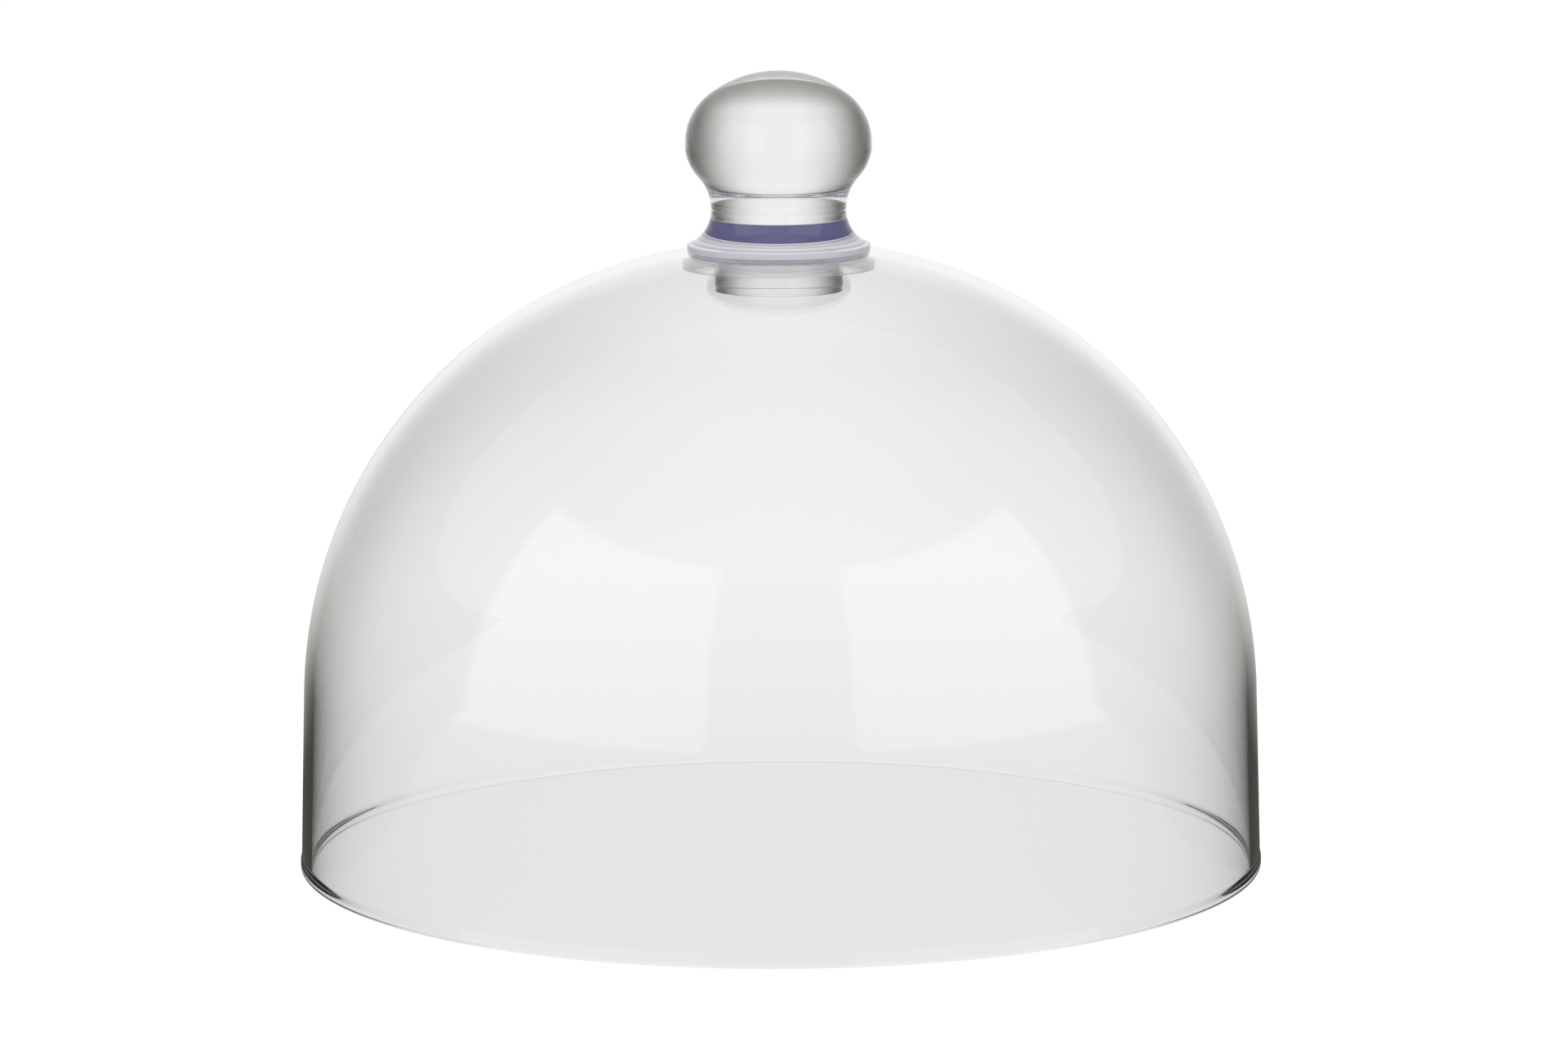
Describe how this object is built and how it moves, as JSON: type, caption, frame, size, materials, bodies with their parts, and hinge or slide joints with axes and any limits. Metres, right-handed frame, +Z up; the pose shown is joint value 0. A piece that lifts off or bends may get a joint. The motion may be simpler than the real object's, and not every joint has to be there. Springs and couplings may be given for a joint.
{
  "type": "food cover dome",
  "caption": "Clear bell-shaped cover set down over food, lifted by a solid round knob on a tinted flared collar clamped through its crown.",
  "frame": {"origin": "centre of the rim's resting circle, on the surface that the cover stands on", "axes": "+Z up along the axis of the bell, towards the knob; the cover is round, so X and Y are any two level directions"},
  "size_m": [0.3006, 0.3006, 0.2473],
  "materials": {
    "clear_shell": "clear, polished",
    "clear_knob": "clear, solid, polished",
    "violet_collar": "see-through violet tint, polished",
    "clear_nut": "clear, faint violet tint, polished"
  },
  "bodies": {
    "root": {"dome_shell": "clear_shell", "knob": "clear_knob", "knob_collar": "violet_collar", "retaining_nut": "clear_nut"}
  },
  "joints": []
}
